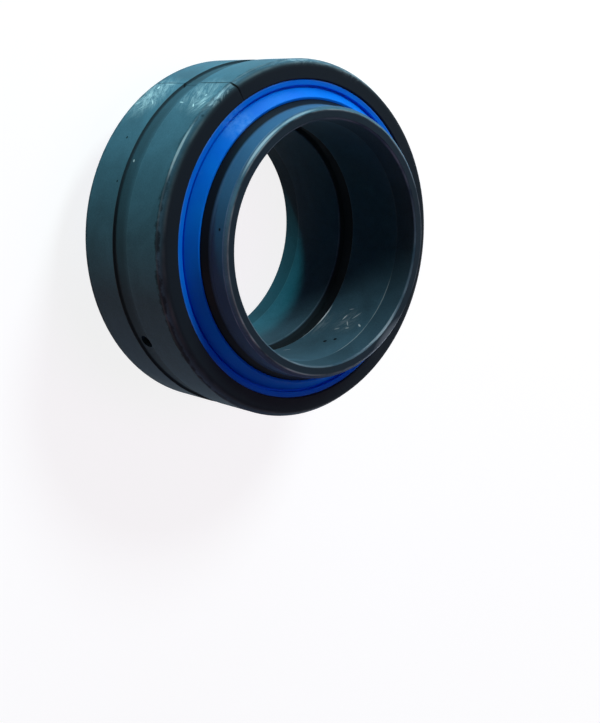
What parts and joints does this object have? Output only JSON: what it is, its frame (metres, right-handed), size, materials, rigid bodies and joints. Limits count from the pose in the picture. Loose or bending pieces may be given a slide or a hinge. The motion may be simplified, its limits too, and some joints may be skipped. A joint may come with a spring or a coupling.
{
  "type": "spherical plain bearing",
  "caption": "Radial spherical plain bearing: a bored ball with extended ends turns and tilts in a fractured, blackened steel outer ring, closed at its sides by blue snap-in lip seals.",
  "frame": {"origin": "on the bearing axis, at the lower end face of the inner ring, which the bearing stands on", "axes": "+Z along the bearing axis, out of the end that the picture shows; +Y is up in the picture"},
  "size_m": [0.075, 0.075, 0.043],
  "materials": {
    "blackened_steel": "hardened bearing steel, turned and ground, manganese-phosphated black and oiled",
    "seal_elastomer": "moulded blue polyurethane elastomer, satin"
  },
  "bodies": {
    "inner_ring": {"inner_ring": "blackened_steel"},
    "seals": {"front_seal": "seal_elastomer", "rear_seal": "seal_elastomer"},
    "outer_ring": {"outer_ring": "blackened_steel"}
  },
  "joints": [
    {"name": "outer_tilt", "type": "hinge", "parent": "inner_ring", "child": "seals", "pos_m": [0, 0, 0.0215], "axis": [0, 1, 0], "range_deg": [-4, 4]},
    {"name": "outer_turn", "type": "hinge", "parent": "seals", "child": "outer_ring", "pos_m": [0, 0, 0.0215], "axis": [0, 0, 1], "continuous": true}
  ]
}
